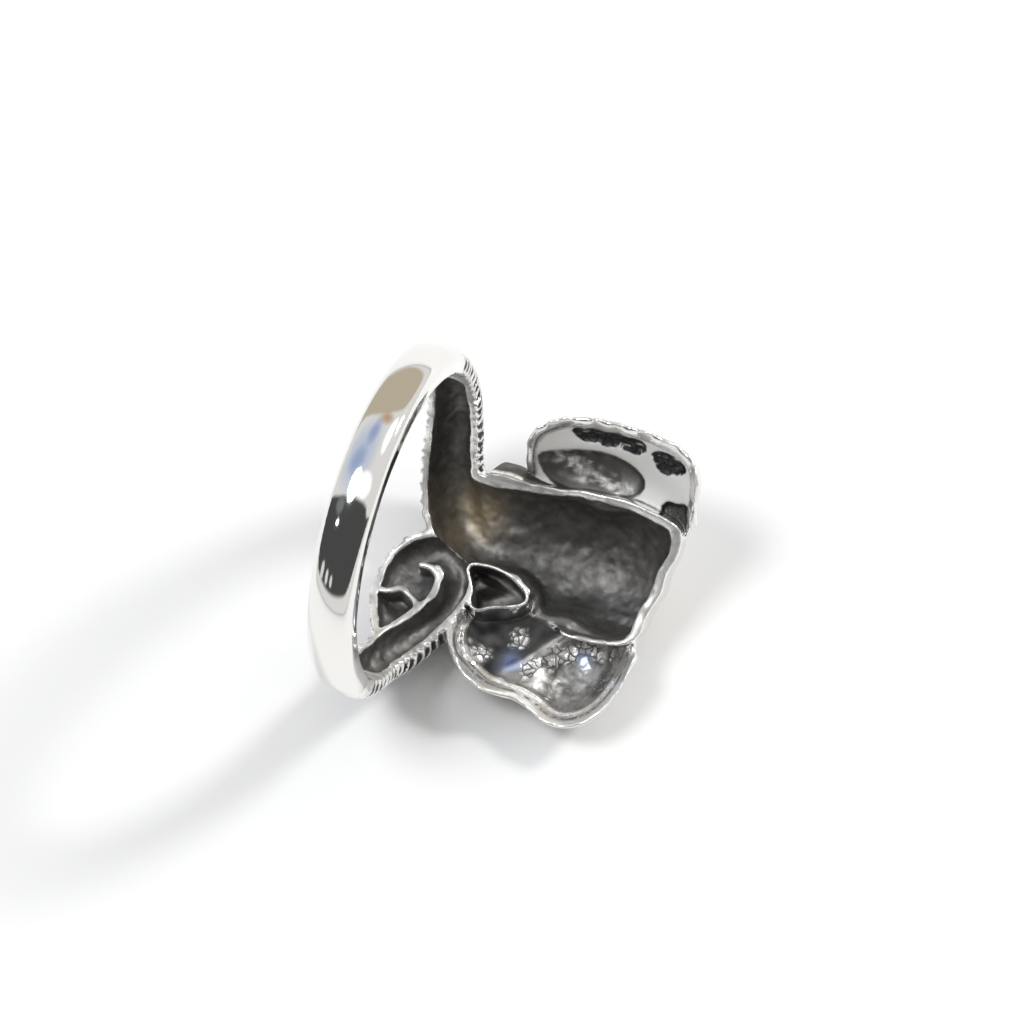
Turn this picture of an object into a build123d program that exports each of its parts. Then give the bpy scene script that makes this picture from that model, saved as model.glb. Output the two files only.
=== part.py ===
"""Cast silver finger ring: an elephant's head lies along the finger, and its trunk goes round the
finger as the band and ends in a curl beside the mouth. The casting is hollow towards the finger.

The ring is modelled round the finger, which runs along Y: +Y is the way the elephant's crown points,
+Z goes out through its forehead, and angles turn from +Z towards +X. It is then turned as it rests
by itself on a table, face down. Lengths are in millimetres.
"""

import os
from collections import namedtuple
from math import atan2, cos, degrees, hypot, radians, sin, sqrt

from build123d import *

# Finger and metal
bore_radius = 9.1
bore_length = 60.0
rim_relief = 0.25
rim_overlap = 1.0
wall = 0.6
sink = 0.35

# Plain polished shank at the back of the finger
shank_width = 2.8
shank_thickness = 1.5
shank_side = 0.75
shank_lean = 0.35
shank_turns = (95, 125, 155, 180, 205, 235, 265)

# Trunk
trunk_width = 3.6
trunk_height = 2.9
trunk_side = 0.5
wrinkle_width = 0.34
wrinkle_rise = 0.14
wrinkle_pitch = 1.1
wrinkle_foot = 0.2
root_row = 2
curl_row = 5
bar_row = 3

# Head
head_start = -1.0
head_length = 15.4
head_width = 8.8
head_height = 4.7
head_turn = 5.0
head_side = 0.6

# Ears
ear_thickness = 0.85
ear_bead = 0.5
ear_bulge = 1.3
ear_root_height = 1.25
ear_edge_height = 7.9
upper_ear_start = 4.5
upper_ear_length = 10.4
upper_ear_reach = 8.2
lower_ear_start = 3.0
lower_ear_length = 11.0
lower_ear_reach = 9.0

# Tusks
tusk_width = 2.3
tusk_height = 3.0
tusk_side = 0.6
tusk_wall = 0.5

# Eyes, one on each side of the trunk's root: shares of the head's length, half width and height
eye_radius = 0.65
eye_along = 0.52
eye_away = 0.75
eye_rise = 0.51

# Short bar between the lower trunk and the lower ear
bar_radius = 0.35
bar_turn = -33.0
bar_height = 1.4
bar_bite = 0.8

# How the ring lies on a table
rest_roll = 22.67
rest_tilt = 6.59

# Sections of the trunk: turn is degrees round the finger, and shift, width and height are shares of
# the trunk's width, width and height. Shift is sideways along the finger.
TrunkRow = namedtuple("TrunkRow", "turn shift width height")
upper_trunk_rows = (
    TrunkRow(1, 0.72, 1.12, 1.33),
    TrunkRow(5.5, 0.33, 1.15, 1.40),
    TrunkRow(14, 0.12, 1.12, 1.30),
    TrunkRow(26, -0.01, 1.02, 1.10),
    TrunkRow(40, -0.07, 0.94, 0.94),
    TrunkRow(56, -0.09, 0.88, 0.77),
    TrunkRow(72, -0.09, 0.80, 0.58),
)
lower_trunk_rows = (
    TrunkRow(-74, 0.07, 0.80, 0.56),
    TrunkRow(-60, 0.06, 0.84, 0.66),
    TrunkRow(-45, 0.21, 0.88, 0.79),
    TrunkRow(-31, 0.42, 0.86, 0.93),
    TrunkRow(-21, 0.58, 0.74, 0.95),
    TrunkRow(-12.5, 0.60, 0.64, 0.89),
    TrunkRow(-7.6, 0.42, 0.60, 0.83),
    TrunkRow(-6.2, 0.12, 0.60, 0.80),
    TrunkRow(-9.6, -0.15, 0.68, 0.78),
    TrunkRow(-17, -0.20, 0.88, 0.76),
    TrunkRow(-26, -0.20, 0.88, 0.72),
    TrunkRow(-36, -0.20, 0.56, 0.60),
)

# Sections of the head, from the trunk's root to the crown: along, width and height are shares of the
# head's length, width and height, and turn is degrees round the finger.
HeadRow = namedtuple("HeadRow", "along turn width height")
head_rows = (
    HeadRow(0.00, 14, 0.36, 0.56),
    HeadRow(0.10, 11, 0.54, 0.68),
    HeadRow(0.24, 7, 0.70, 0.78),
    HeadRow(0.40, 5, 0.86, 0.88),
    HeadRow(0.58, 5, 0.98, 0.99),
    HeadRow(0.76, 6, 1.00, 1.00),
    HeadRow(0.90, 6.5, 0.93, 0.82),
    HeadRow(0.97, 7, 0.85, 0.60),
    HeadRow(1.00, 7, 0.78, 0.42),
)

# Sections of an ear, from the cheek to the nape: along is a share of the ear's length, root of the
# head's half width, reach of the ear's reach, and bulge of the ear's bulge.
EarRow = namedtuple("EarRow", "along root reach bulge")
upper_ear_rows = (
    EarRow(0.00, 1.08, 0.66, 0.00),
    EarRow(0.05, 0.92, 0.80, 0.30),
    EarRow(0.16, 0.75, 0.89, 0.70),
    EarRow(0.34, 0.68, 0.96, 1.00),
    EarRow(0.60, 0.68, 1.00, 1.00),
    EarRow(0.82, 0.68, 0.96, 0.70),
    EarRow(0.94, 0.68, 0.87, 0.30),
    EarRow(1.00, 0.70, 0.70, 0.00),
)
lower_ear_rows = (
    EarRow(0.00, 1.00, 0.58, 0.00),
    EarRow(0.08, 0.86, 0.71, 0.45),
    EarRow(0.20, 0.74, 0.85, 0.90),
    EarRow(0.36, 0.70, 0.89, 0.95),
    EarRow(0.48, 0.70, 0.90, 0.45),
    EarRow(0.64, 0.70, 1.00, 1.00),
    EarRow(0.76, 0.70, 1.00, 1.10),
    EarRow(0.89, 0.70, 0.87, 0.75),
    EarRow(0.97, 0.72, 0.71, 0.30),
    EarRow(1.00, 0.76, 0.54, 0.00),
)

# Sections of a tusk, from the cheek to the tip: along is a share of the head's length, away a share of
# the head's half width, and width and height are shares of the tusk's.
TuskRow = namedtuple("TuskRow", "along away width height")
tusk_rows = (
    TuskRow(0.47, 0.60, 0.95, 0.86),
    TuskRow(0.38, 0.74, 1.00, 0.98),
    TuskRow(0.30, 0.86, 0.74, 1.00),
    TuskRow(0.22, 0.93, 0.26, 0.90),
)

middle_radius = bore_radius + wall


def finger_plane(y, turn, heading=0.0):
    """Plane across a path on the finger: local y points out, and local x lies on the finger.
    A heading of 0 travels round the finger, and one of 90 along it."""
    angle, course = radians(turn), radians(heading)
    out = Vector(sin(angle), 0, cos(angle))
    around = Vector(cos(angle), 0, -sin(angle))
    travel = around * cos(course) + Vector(0, 1, 0) * sin(course)
    return Plane(origin=out * bore_radius + Vector(0, y, 0), x_dir=out.cross(travel), z_dir=travel)


def headings(points):
    """Course of a path at each of its (y, turn) points, from the points beside it."""
    flat = [(y, middle_radius * radians(turn)) for y, turn in points]
    before = [flat[0]] + flat[:-1]
    after = flat[1:] + [flat[-1]]
    return [degrees(atan2(b[0] - a[0], b[1] - a[1])) for a, b in zip(before, after)]


def dome(plane, width, height, side):
    """Section that stands on the finger: upright sides and an elliptical crown."""
    half = width / 2
    foot = -sink - (bore_radius - sqrt(bore_radius**2 - half**2))
    with BuildSketch(plane) as section:
        with BuildLine():
            Line((-half, foot), (half, foot))
            Line((half, foot), (half, side))
            EllipticalCenterArc((0, side), half, height - side, arc_size=180)
            Line((-half, side), (-half, foot))
        make_face()
    return section.sketch.face()


def trunk_section(row, heading, inset=0.0):
    """Section of the trunk, or of its hollow when inset by the wall."""
    plane = finger_plane(row.shift * trunk_width, row.turn, heading)
    return dome(plane, row.width * trunk_width - 2 * inset, row.height * trunk_height - inset, trunk_side)


def trunk_sections(rows, inset=0.0):
    """Sections of a stretch of trunk, or of its hollow."""
    courses = headings([(row.shift * trunk_width, row.turn) for row in rows])
    return [trunk_section(row, course, inset) for row, course in zip(rows, courses)]


def arch(plane, width, height):
    """Rib over the trunk: it stands proud of the skin and starts halfway through the wall."""
    half = width / 2 + wrinkle_rise
    inner = width / 2 - wall / 2
    crown = height + wrinkle_rise - trunk_side
    inner_crown = height - wall / 2 - trunk_side
    with BuildSketch(plane) as section:
        with BuildLine():
            Line((inner, wrinkle_foot), (half, wrinkle_foot))
            Line((half, wrinkle_foot), (half, trunk_side))
            EllipticalCenterArc((0, trunk_side), half, crown, arc_size=180)
            Line((-half, trunk_side), (-half, wrinkle_foot))
            Line((-half, wrinkle_foot), (-inner, wrinkle_foot))
            Line((-inner, wrinkle_foot), (-inner, trunk_side))
            EllipticalCenterArc((0, trunk_side), inner, inner_crown, arc_size=180)
            Line((inner, trunk_side), (inner, wrinkle_foot))
        make_face()
    return section.sketch.face()


def trunk_wrinkles(rows):
    """Ribs across a stretch of trunk, evenly spread between its rows."""
    points = [(row.shift * trunk_width, row.turn) for row in rows]
    courses = headings(points)
    ribs = []
    for index in range(len(rows) - 1):
        a, b = rows[index], rows[index + 1]
        shift, turn = (q - p for p, q in zip(points[index], points[index + 1]))
        span = hypot(shift, middle_radius * radians(turn))
        count = max(1, round(span / wrinkle_pitch))
        bend = (courses[index + 1] - courses[index] + 180) % 360 - 180
        for step in range(count):
            share = step / count
            row = TrunkRow(*(p + (q - p) * share for p, q in zip(a, b)))
            plane = finger_plane(row.shift * trunk_width, row.turn, courses[index] + bend * share)
            face = arch(plane, row.width * trunk_width, row.height * trunk_height)
            ribs.append(extrude(face, wrinkle_width / 2, both=True, mode=Mode.PRIVATE))
    return ribs


def head_sections(rows, inset=0.0):
    """Sections of the head, or of its hollow when inset by the wall."""
    ends = {rows[0]: inset, rows[-1]: -inset}
    return [
        dome(
            finger_plane(head_start + row.along * head_length + ends.get(row, 0), row.turn, 90),
            row.width * head_width - 2 * inset,
            row.height * head_height - inset,
            head_side,
        )
        for row in rows
    ]


def ear_section(y, hand, root, reach, bulge):
    """Strip of an ear across the finger: domed skin that ends in a rounded rim."""
    tilt = radians(head_turn)
    plane = Plane(origin=(0, y, 0), x_dir=(cos(tilt), 0, -sin(tilt)), z_dir=(0, -1, 0))
    root_height = bore_radius + ear_root_height
    middle = hand * (root + reach) / 2
    middle_height = (root_height + ear_edge_height) / 2 + bulge
    skin = ear_thickness / 2
    with BuildSketch(plane) as section:
        with BuildLine():
            front = ThreePointArc(
                (hand * root, root_height + skin),
                (middle, middle_height + skin),
                (hand * reach, ear_edge_height + ear_bead),
            )
            rim = ThreePointArc(
                front @ 1,
                (hand * (reach + ear_bead), ear_edge_height),
                (hand * reach, ear_edge_height - ear_bead),
            )
            back = ThreePointArc(
                rim @ 1,
                (middle, middle_height - skin),
                (hand * root, root_height - skin),
            )
            Line(back @ 1, front @ 0)
        make_face()
    return section.sketch.face()


def ear_sections(rows, hand, start, length, reach):
    """Sections of one ear, from the cheek to the nape."""
    return [
        ear_section(
            start + row.along * length,
            hand,
            row.root * head_width / 2,
            row.reach * reach,
            row.bulge * ear_bulge,
        )
        for row in rows
    ]


def tusk_sections(rows, hand, inset=0.0):
    """Sections of one tusk, which leaves the cheek and runs beside the trunk's root."""
    points = [
        (
            head_start + row.along * head_length,
            head_turn + hand * degrees(row.away * head_width / 2 / middle_radius),
        )
        for row in rows
    ]
    return [
        dome(
            finger_plane(y, turn, course),
            row.width * tusk_width - 2 * inset,
            row.height * tusk_height - inset,
            tusk_side,
        )
        for row, (y, turn), course in zip(rows, points, headings(points))
    ]


def on_finger(y, turn, height):
    """Point at a height over the finger."""
    angle = radians(turn)
    radius = bore_radius + height
    return Vector(radius * sin(angle), y, radius * cos(angle))


with BuildPart() as ring:
    # Shank, from the upper trunk's end round the back to the lower trunk's end
    shank_faces = trunk_sections(upper_trunk_rows)[-1:]
    shank_faces += [
        dome(finger_plane(-shank_lean * (180 - turn) / 90, turn), shank_width, shank_thickness, shank_side)
        for turn in shank_turns
    ]
    shank_faces += trunk_sections(lower_trunk_rows)[:1]
    loft(sections=shank_faces)

    # Trunk and head
    upper_faces = trunk_sections(upper_trunk_rows)
    lower_faces = trunk_sections(lower_trunk_rows)
    loft(sections=upper_faces)
    loft(sections=lower_faces[: curl_row + 1])
    loft(sections=lower_faces[curl_row:])
    loft(sections=head_sections(head_rows))

    # Ears
    loft(sections=ear_sections(upper_ear_rows, 1, upper_ear_start, upper_ear_length, upper_ear_reach))
    loft(sections=ear_sections(lower_ear_rows, -1, lower_ear_start, lower_ear_length, lower_ear_reach))

    # Tusks and eyes
    brow = finger_plane(head_start + eye_along * head_length, head_turn, 90)
    for hand in (1, -1):
        loft(sections=tusk_sections(tusk_rows, hand))
        with Locations(brow.from_local_coords((-hand * eye_away * head_width / 2, eye_rise * head_height, 0))):
            Sphere(eye_radius)

    # Bar from the lower trunk's side to the lower ear
    bar_start = lower_trunk_rows[bar_row]
    side = (bar_start.shift + bar_start.width / 2) * trunk_width
    bar_from = on_finger(side - wall / 2, bar_turn, bar_height)
    bar_to = on_finger(lower_ear_start + bar_bite, bar_turn, bar_height)
    with BuildSketch(Plane(origin=bar_from, z_dir=bar_to - bar_from)):
        Circle(bar_radius)
    extrude(amount=(bar_to - bar_from).length)

    # Wrinkles, which end where the trunk's root lies inside the head
    add(trunk_wrinkles(upper_trunk_rows[root_row:]) + trunk_wrinkles(lower_trunk_rows))

    # Hollows, open towards the finger
    lower_hollow = trunk_sections(lower_trunk_rows, wall)
    loft(sections=trunk_sections(upper_trunk_rows, wall), mode=Mode.SUBTRACT)
    loft(sections=lower_hollow[: curl_row + 1], mode=Mode.SUBTRACT)
    loft(sections=lower_hollow[curl_row:], mode=Mode.SUBTRACT)
    loft(sections=head_sections(head_rows, wall), mode=Mode.SUBTRACT)
    for hand in (1, -1):
        loft(sections=tusk_sections(tusk_rows[:-1], hand, tusk_wall), mode=Mode.SUBTRACT)
    Cylinder(bore_radius, bore_length, rotation=(90, 0, 0), mode=Mode.SUBTRACT)

    # The cast rims of trunk and head lie just behind the polished shank's bore
    rims_from = lower_trunk_rows[0].turn - rim_overlap
    rims_to = upper_trunk_rows[-1].turn + rim_overlap
    with BuildSketch(Plane(origin=(0, -bore_length / 2, 0), x_dir=(0, 0, 1), z_dir=(0, 1, 0))):
        with BuildLine():
            rims = CenterArc((0, 0), bore_radius + rim_relief, rims_from, rims_to - rims_from)
            Polyline(rims @ 1, (0, 0), rims @ 0)
        make_face()
    extrude(amount=bore_length, mode=Mode.SUBTRACT)

with BuildPart() as elephant_ring:
    # The head's down direction turns to -Z, and the finger's axis stays nearly level along Y
    add(ring.part.rotate(Axis.Y, rest_roll).rotate(Axis.X, -rest_tilt).rotate(Axis.Y, 180))

elephant_ring.part.label = "elephant_ring"
os.makedirs("parts", exist_ok=True)
export_step(elephant_ring.part, "parts/elephant_ring.step")
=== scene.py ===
"""Cast silver elephant ring, lying face down on a white table: surfaces, light and camera.

The ring's visible skin is one closed mesh, worked out from a distance field in millimetres in the
ring's own frame: the finger runs along Y towards the elephant's crown, +Z goes out through its
forehead, and angles turn from +Z towards +X. It is then turned as the ring rests, in metres.
"""

import math
from collections import namedtuple

import bpy
import numpy as np
import openvdb as vdb
from mathutils import Matrix, Vector

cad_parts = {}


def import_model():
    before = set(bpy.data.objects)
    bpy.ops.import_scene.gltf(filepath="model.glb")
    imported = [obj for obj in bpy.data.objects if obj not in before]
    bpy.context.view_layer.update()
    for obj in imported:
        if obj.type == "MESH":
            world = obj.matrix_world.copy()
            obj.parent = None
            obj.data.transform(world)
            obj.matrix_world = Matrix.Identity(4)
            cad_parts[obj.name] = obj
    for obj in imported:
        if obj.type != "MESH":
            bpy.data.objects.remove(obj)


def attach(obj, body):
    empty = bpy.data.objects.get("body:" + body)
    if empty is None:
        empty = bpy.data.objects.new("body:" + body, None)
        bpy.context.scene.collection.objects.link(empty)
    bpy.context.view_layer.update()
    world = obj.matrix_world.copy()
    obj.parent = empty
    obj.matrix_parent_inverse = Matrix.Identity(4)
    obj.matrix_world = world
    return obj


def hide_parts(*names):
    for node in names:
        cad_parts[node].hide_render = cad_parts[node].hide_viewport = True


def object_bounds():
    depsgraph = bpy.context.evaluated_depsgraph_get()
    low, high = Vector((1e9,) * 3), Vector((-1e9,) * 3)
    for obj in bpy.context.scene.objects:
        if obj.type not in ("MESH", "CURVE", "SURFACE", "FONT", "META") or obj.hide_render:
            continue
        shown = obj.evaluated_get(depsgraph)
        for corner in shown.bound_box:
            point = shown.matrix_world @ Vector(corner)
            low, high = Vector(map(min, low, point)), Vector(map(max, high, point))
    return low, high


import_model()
cad_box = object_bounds()

MM = 0.001

# Finger and metal, in millimetres
BORE = 9.1
RIM_BORE = 9.17
WALL = 0.55
ROUNDING = 0.18

# How the ring lies, in degrees
REST_ROLL = 22.67
REST_TILT = 6.59

# Distance field: its box and voxel, the voxels along a coarse cell's side, the distance kept round
# the surface, a far distance, and how many points or cells are worked out at once
FIELD_LOW = (-11.0, -3.6, -11.4)
FIELD_HIGH = (11.0, 16.0, 15.0)
VOXEL = 0.1
COARSE = 5
BAND = 0.85
FAR = 9.0
POINTS_AT_ONCE = 40000
CELLS_AT_ONCE = 4000
MOST_TRIANGLES = 185000

# Roughness of the casting: the size of its features and its seed
ROUGHNESS = {"slow": (1.6, 11), "mid": (0.62, 12), "fine": (0.27, 13)}

# A soft round spot on a surface: its middle, its reach both ways and its size
Spot = namedtuple("Spot", "q y q_reach y_reach size")

# Trunk, one sweep right round the finger: turn in degrees, and y, half width, height and upright side
# in millimetres. Wrinkle is how deep its folds are, as a share. The rows from 115 to 245 degrees are
# smaller, because they lie inside the polished shank.
Row = namedtuple("Row", "turn y half height side wrinkle")
TRUNK = (
    Row(4.0, 9.2, 1.00, 3.95, 0.5, 0.3),
    Row(3.4, 7.0, 1.50, 4.10, 0.5, 0.6),
    Row(2.0, 4.8, 1.85, 4.15, 0.5, 0.9),
    Row(1.0, 2.6, 2.00, 3.86, 0.5, 1.0),
    Row(5.5, 1.05, 2.05, 3.98, 0.5, 1.0),
    Row(14, 0.30, 2.00, 3.74, 0.5, 1.0),
    Row(26, -0.25, 1.84, 3.16, 0.5, 1.0),
    Row(40, -0.40, 1.70, 2.70, 0.5, 1.0),
    Row(56, -0.42, 1.60, 2.22, 0.5, 1.0),
    Row(72, -0.34, 1.45, 1.68, 0.6, 0.8),
    Row(80, -0.33, 1.42, 1.58, 0.7, 0.8),
    Row(86, -0.33, 1.42, 1.56, 0.75, 0.6),
    Row(95, -0.33, 1.40, 1.50, 0.75, 0.0),
    Row(115, -0.24, 1.20, 1.30, 0.6, 0.0),
    Row(148, -0.12, 1.20, 1.30, 0.6, 0.0),
    Row(180, 0.0, 1.20, 1.30, 0.6, 0.0),
    Row(212, 0.12, 1.20, 1.30, 0.6, 0.0),
    Row(245, 0.24, 1.20, 1.30, 0.6, 0.0),
    Row(265, 0.33, 1.40, 1.50, 0.75, 0.0),
    Row(273, 0.33, 1.42, 1.56, 0.75, 0.6),
    Row(280, 0.32, 1.42, 1.58, 0.7, 0.8),
    Row(286, 0.25, 1.44, 1.62, 0.6, 0.9),
    Row(300, 0.20, 1.52, 1.91, 0.5, 1.0),
    Row(315, 0.75, 1.60, 2.29, 0.5, 1.0),
    Row(329, 1.50, 1.52, 2.66, 0.5, 1.0),
    Row(339, 2.10, 1.35, 2.72, 0.5, 1.0),
    Row(347, 2.12, 1.30, 2.58, 0.5, 0.8),
    Row(352, 1.45, 1.35, 2.42, 0.5, 0.8),
    Row(353.5, 0.40, 1.35, 2.34, 0.5, 0.8),
    Row(350.5, -0.40, 1.45, 2.28, 0.5, 0.8),
    Row(344, -0.55, 1.95, 2.22, 0.5, 0.8),
    Row(338, -0.55, 2.05, 2.15, 0.5, 0.8),
    Row(333, -0.60, 1.95, 2.05, 0.5, 0.8),
    Row(327, -0.68, 1.45, 1.86, 0.5, 0.8),
    Row(321, -0.68, 1.00, 1.66, 0.5, 0.8),
    Row(316, -0.75, 0.55, 1.30, 0.4, 0.5),
)
TRUNK_STEP = 0.35
TRUNK_SPACING = 0.22
# How far before its start the sweep is looked up, in radians
SEAM_OVERLAP = 0.25

# Wrinkles: pitch and depth, how sharp their ridges are, the share of them under the sweep's surface,
# and how far they wander with the slow and the middle roughness, in pitches
WRINKLE_PITCH = 0.66
WRINKLE_RISE = 0.19
WRINKLE_SHARPNESS = 1.6
WRINKLE_LEVEL = 0.8
WRINKLE_WANDER = (0.5, 0.15)

# The trunk and tusks are laid out on cylinders that far outside the bore
TRUNK_LIFT = 0.6
TUSK_LIFT = 1.2

# Polished shank: a flat crown over the band, out to that turn from the back
SHANK_WIDTH = 2.8
SHANK_THICKNESS = 1.5
SHANK_CROWN = 0.17
SHANK_LEAN = 0.35
SHANK_REACH = 93.0
SHANK_FADE = 14.0
SHANK_SINK = 0.3
SHANK_EDGE = 0.45
SHANK_BORE_EDGE = 0.22

# Hollow of the trunk: it ends before the polished shank, which is solid
HOLLOW_ENDS = (74.0, 284.5)
HOLLOW_END_ROUNDING = 0.7
HOLLOW_SIDE_DROP = 0.1

# Thin walls that stand in the curl's hollow: turn and y along each, and half of its thickness
Wall = namedtuple("Wall", "line half")
CURL_WALLS = (
    Wall(
        (
            (-52.0, -1.0), (-45.0, -0.62), (-40.0, -0.14), (-36.0, 0.22), (-30.5, 0.66),
            (-25.0, 1.08), (-21.0, 1.24), (-16.0, 1.05), (-13.2, 0.45), (-13.4, -0.22),
        ),
        0.21,
    ),
    Wall(((-27.6, -1.95), (-26.6, -1.35), (-24.4, -0.78), (-26.2, -0.10), (-29.0, 0.62)), 0.16),
)
CURL_STEP = 0.25
CURL_WALL_ROUNDING = 0.15

# Head: y, turn, half width and height in millimetres and degrees
HeadRow = namedtuple("HeadRow", "y turn half height")
HEAD = (
    HeadRow(-1.0, 14.0, 1.58, 2.63),
    HeadRow(0.54, 11.0, 2.38, 3.20),
    HeadRow(2.70, 7.0, 3.08, 3.67),
    HeadRow(5.16, 5.0, 3.78, 4.14),
    HeadRow(7.93, 5.0, 4.31, 4.65),
    HeadRow(10.70, 6.0, 4.40, 4.70),
    HeadRow(12.86, 6.5, 4.10, 3.85),
    HeadRow(13.94, 7.0, 3.80, 2.85),
    HeadRow(14.80, 7.0, 3.50, 2.00),
)
HEAD_STEP = 0.3
HEAD_SIDE = 0.6
HEAD_TURN = 5.0
HEAD_FROM = 6.0
HEAD_FOOT = -1.0
FOOT_ROUNDING = 0.5
# Crown: its y in the middle, its slant and waves across, its edge outside and inside, and its wall
CROWN_Y = 14.25
CROWN_SLANT = 0.16
CROWN_WAVE = 0.08
CROWN_WAVES = 2.4
CROWN_ROUNDING = 0.9
CROWN_HOLLOW_ROUNDING = 0.8
CROWN_WALL = 0.60
# The wall beside the lower ear is thinner, past those places across and along
THIN_RIM = 0.25
THIN_ACROSS = (2.4, 3.4)
THIN_ALONG = (8.6, 9.8)
# Relief of the face, by distance from the head's middle and y. Over those heights the temple dents
# the wall's inside too.
BROW = Spot(1.5, 10.6, 1.3, 1.9, 0.16)
TEMPLE = Spot(3.4, 9.3, 0.7, 1.2, 0.42)
SOCKET = Spot(3.2, 7.0, 0.95, 0.9, 0.30)
EYE_RIDGE = Spot(2.9, 8.1, 0.9, 0.4, 0.08)
CLEFT = Spot(0.0, 11.2, 0.45, 2.0, 0.16)
TEMPLE_INSIDE = (0.3, 1.0)

# Tusks: y, degrees away from the head's middle, half width and height of a section
TuskRow = namedtuple("TuskRow", "y away half height")
TUSK = (
    TuskRow(6.24, 15.6, 1.06, 2.55),
    TuskRow(4.85, 19.2, 1.12, 2.92),
    TuskRow(3.62, 22.3, 0.84, 2.98),
    TuskRow(2.60, 24.0, 0.40, 2.72),
)
TUSK_STEP = 0.05
TUSK_SIDE = 0.6
UPPER_DROP = 3.0
# Pocket in the lower tusk's back: turn and y round it, the wall beside it, its rim and depth
POCKET = (
    (-8.2, 2.75), (-7.0, 4.5), (-10.9, 6.15), (-14.3, 6.5), (-17.0, 5.9), (-19.8, 4.75),
    (-22.6, 3.95), (-20.3, 3.5), (-16.8, 3.42), (-13.3, 3.1),
)
POCKET_STEP = 0.3
POCKET_WALL = 0.42
POCKET_WALL_FLARE = 0.12
POCKET_RIM = 0.12
POCKET_DEPTH = 2.4
POCKET_SKIN = 0.3
POCKET_WALL_BLEND = 0.35
POCKET_END_ROUNDING = 0.5
POCKET_SKIN_BLEND = 0.2
POCKET_RIM_BLEND = 0.12
POCKET_EDGE_ROUNDING = 0.08
# Scoop in the head's wall beside the lower ear: middle and reach in u, y and v
SCOOP_MIDDLE = (-4.35, 7.0, 8.5)
SCOOP_REACH = (1.75, 2.0, 1.5)
SCOOP_SCALE = 1.5
SCOOP_ROUNDING = 0.5

# Ears in the head's flat frame: u away from the head's middle, y along the finger. The upper side of
# the head is 1 and the lower one -1.
EAR_EDGE_V = 7.9
EAR_THICKNESS = 0.85
EAR_EDGE_ROUNDING = 0.35
# Bead round each ear: its radius, how far outside the edge its middle lies, where it starts (u), how
# softly it joins the sheet, and its bumps, as shares of the radius
EAR_BEAD = 0.34
EAR_BEAD_OUT = 0.07
EAR_BEAD_STARTS = (3.4, 4.4)
EAR_BEAD_BLEND = 0.22
EAR_BEAD_BUMPS = {1: 0.35, -1: 0.04}
# How high the ears bulge, and the steps along their curves
EAR_BULGE = 1.3
OUTLINE_STEP = 0.4
SHEET_STEP = 0.3
DENT_STEP = 0.6
UPPER_OUTLINE = (
    (3.2, 5.0), (4.6, 4.5), (5.8, 4.45), (6.8, 4.85), (7.6, 5.85), (8.15, 7.2), (8.4, 9.0),
    (8.5, 10.7), (8.35, 12.4), (7.9, 13.8), (6.8, 14.6), (5.0, 14.7), (3.3, 14.6), (2.6, 12.0),
    (2.6, 8.0),
)
LOWER_OUTLINE = (
    (3.2, 4.1), (4.4, 3.3), (5.5, 3.15), (6.65, 3.6), (7.65, 4.7), (8.2, 5.9), (8.35, 7.1),
    (8.35, 8.1), (8.6, 9.1), (9.0, 10.1), (9.05, 11.1), (8.6, 12.1), (7.8, 12.85), (6.6, 13.4),
    (5.2, 13.65), (3.3, 13.6), (2.6, 11.0), (2.6, 6.5),
)
# Ridge between the lower ear's lobes: a place on it (u and y), slant, height, reach, start and end (u)
RIDGE_AT = (5.6, 8.2)
RIDGE_SLANT = 1.05
RIDGE_HEIGHT = 0.20
RIDGE_REACH = 0.42
RIDGE_STARTS = (3.6, 4.6)
RIDGE_ENDS = (6.8, 7.8)
# Raised lip in the lower ear's rim: height, how far inside the edge, reach and start (u)
LIP_HEIGHT = 0.10
LIP_INSET = 0.48
LIP_REACH = 0.08
LIP_STARTS = (5.0, 6.0)
# Bright spots that stand out of the lower ear's back, and the stretch (y and inset) that is crumpled
LOWER_RISES = (
    Spot(6.8, 4.6, 0.55, 0.7, 1.0),
    Spot(5.4, 6.5, 0.65, 0.8, 1.0),
    Spot(4.8, 11.2, 0.6, 0.6, 1.0),
)
CRUMPLED_FROM = (8.6, 9.6)
CRUMPLED_INSET = (0.7, 1.3)
# Hollows in the upper ear's back: outline (u and y) and depth
UPPER_DENTS = {
    "bowl": (
        (5.4, 4.7), (6.15, 5.9), (6.75, 8.2), (6.6, 10.1), (5.85, 11.25), (4.9, 11.1), (4.2, 9.9),
        (3.75, 7.8), (4.1, 5.6),
    ),
    "trough": (
        (7.5, 6.5), (7.95, 7.3), (8.15, 9.2), (8.2, 10.9), (7.7, 11.2), (7.25, 10.8), (7.2, 9.6),
        (7.3, 8.3), (7.1, 7.2),
    ),
    "scar": ((7.6, 11.5), (8.0, 12.5), (7.6, 13.8), (6.9, 13.6), (6.7, 12.1)),
    "notch": ((4.1, 12.7), (5.0, 12.9), (5.2, 14.4), (3.0, 14.7), (3.6, 13.5)),
}
DENT_DEPTH = {"bowl": 0.26, "trough": 0.26, "scar": 0.22, "notch": 0.45}
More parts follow.
